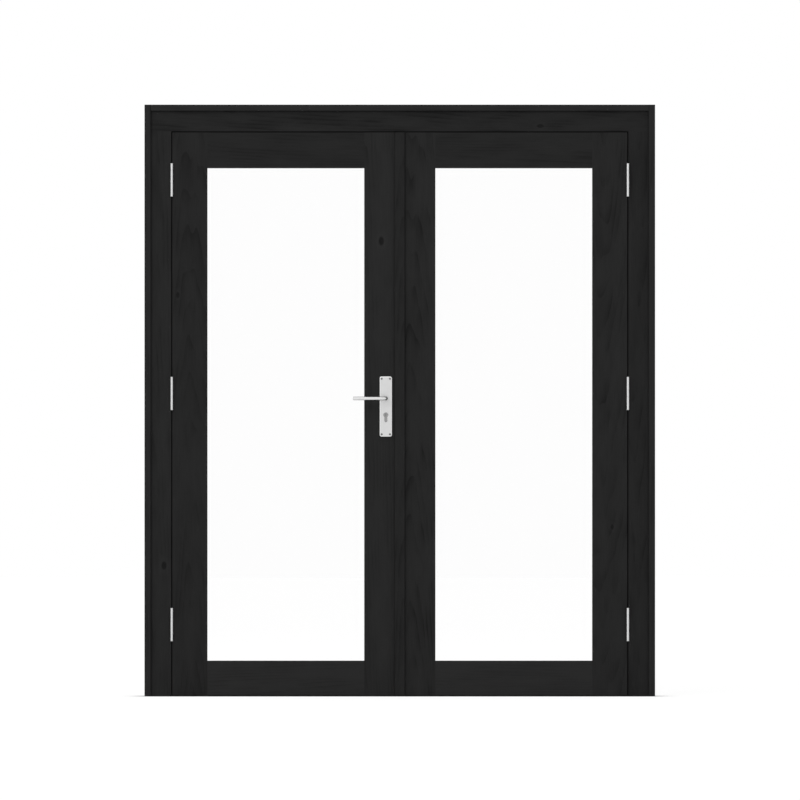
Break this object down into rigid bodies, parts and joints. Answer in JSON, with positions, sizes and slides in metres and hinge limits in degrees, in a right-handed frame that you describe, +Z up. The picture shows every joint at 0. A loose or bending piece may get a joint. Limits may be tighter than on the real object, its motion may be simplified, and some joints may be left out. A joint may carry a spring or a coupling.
{
  "type": "french doors with frame",
  "caption": "Pair of black timber french doors with full-height glass in a frame with raised cover strips; satin lever handle and hinges.",
  "frame": {"origin": "on the floor, in the middle of the width and of the leaf thickness", "axes": "+Z up, +X to the right seen from outside, -Y is the outside face with the hinge knuckles"},
  "size_m": [1.7, 0.162, 1.97],
  "materials": {
    "black_timber": "opaque black stain over visible grain, satin",
    "clear_glass": "clear float glass",
    "spacer_aluminium": "mill finish",
    "black_rubber": "matt",
    "zinc_plated_steel": "zinc plated, dull",
    "nickel_plated_cylinder": "satin nickel plate",
    "dark_screw_steel": "dull steel",
    "satin_steel": "satin"
  },
  "bodies": {
    "frame": {"left_jamb": "black_timber", "right_jamb": "black_timber", "head": "black_timber", "threshold": "black_timber", "left_cover_strip": "black_timber", "right_cover_strip": "black_timber", "head_cover_strip": "black_timber", "frame_seals": "black_rubber", "left_jamb_hinge_plates": "satin_steel", "right_jamb_hinge_plates": "satin_steel", "left_hinge_pins": "satin_steel", "right_hinge_pins": "satin_steel", "top_bolt_keeper": "satin_steel", "bottom_bolt_keeper": "satin_steel", "frame_screws": "satin_steel"},
    "left_leaf": {"left_hinge_stile": "black_timber", "left_lock_stile": "black_timber", "left_top_rail": "black_timber", "left_bottom_rail": "black_timber", "left_front_pane": "clear_glass", "left_rear_pane": "clear_glass", "left_spacer": "spacer_aluminium", "left_glazing_tape": "black_rubber", "left_setting_blocks": "black_rubber", "left_beads": "black_timber", "left_door_hinge_plates": "satin_steel", "left_screws": "satin_steel", "astragal": "black_timber", "lock_case": "zinc_plated_steel", "lock_faceplate": "satin_steel", "cylinder_body": "nickel_plated_cylinder", "front_plate": "satin_steel", "rear_plate": "satin_steel", "plate_screws": "dark_screw_steel"},
    "lever_set": {"front_lever": "satin_steel", "rear_lever": "satin_steel", "spindle": "zinc_plated_steel", "follower": "zinc_plated_steel"},
    "latch": {"latch_bolt": "satin_steel"},
    "dead": {"dead_bolt": "satin_steel"},
    "key_plug": {"cylinder_plug": "nickel_plated_cylinder"},
    "right_leaf": {"right_hinge_stile": "black_timber", "right_meeting_stile": "black_timber", "right_top_rail": "black_timber", "right_bottom_rail": "black_timber", "right_front_pane": "clear_glass", "right_rear_pane": "clear_glass", "right_spacer": "spacer_aluminium", "right_glazing_tape": "black_rubber", "right_setting_blocks": "black_rubber", "right_beads": "black_timber", "right_door_hinge_plates": "satin_steel", "right_screws": "satin_steel", "strike_plate": "satin_steel", "top_bolt_plate": "satin_steel", "bottom_bolt_plate": "satin_steel"},
    "top_bolt": {"top_bolt_rod": "satin_steel"},
    "bottom_bolt": {"bottom_bolt_rod": "satin_steel"}
  },
  "joints": [
    {"name": "left_door_swing", "type": "hinge", "parent": "frame", "child": "left_leaf", "pos_m": [-0.7595, -0.0272, 0], "axis": [0, 0, -1], "range_deg": [0, 165]},
    {"name": "right_door_swing", "type": "hinge", "parent": "frame", "child": "right_leaf", "pos_m": [0.7595, -0.0272, 0], "axis": [0, 0, 1], "range_deg": [0, 165]},
    {"name": "lever_turn", "type": "hinge", "parent": "left_leaf", "child": "lever_set", "pos_m": [-0.0465, 0, 0.992], "axis": [0, -1, 0], "range_deg": [0, 45], "stiffness_Nm_per_rad": 0.6, "springref_deg": -34.38},
    {"name": "latch_slide", "type": "slide", "parent": "left_leaf", "child": "latch", "axis": [-1, 0, 0], "range_m": [0, 0.011]},
    {"name": "plug_turn", "type": "hinge", "parent": "left_leaf", "child": "key_plug", "pos_m": [-0.0465, 0, 0.937], "axis": [0, -1, 0], "range_deg": [0, 360]},
    {"name": "dead_bolt_slide", "type": "slide", "parent": "left_leaf", "child": "dead", "axis": [1, 0, 0], "range_m": [0, 0.02]},
    {"name": "top_bolt_slide", "type": "slide", "parent": "right_leaf", "child": "top_bolt", "axis": [0, 0, 1], "range_m": [0, 0.016]},
    {"name": "bottom_bolt_slide", "type": "slide", "parent": "right_leaf", "child": "bottom_bolt", "axis": [0, 0, -1], "range_m": [0, 0.016]}
  ],
  "couplings": [
    {"joint": "latch_slide", "follows": "lever_turn", "m_per_rad": 0.014},
    {"joint": "plug_turn", "follows": "dead_bolt_slide", "rad_per_m": 314.15}
  ]
}
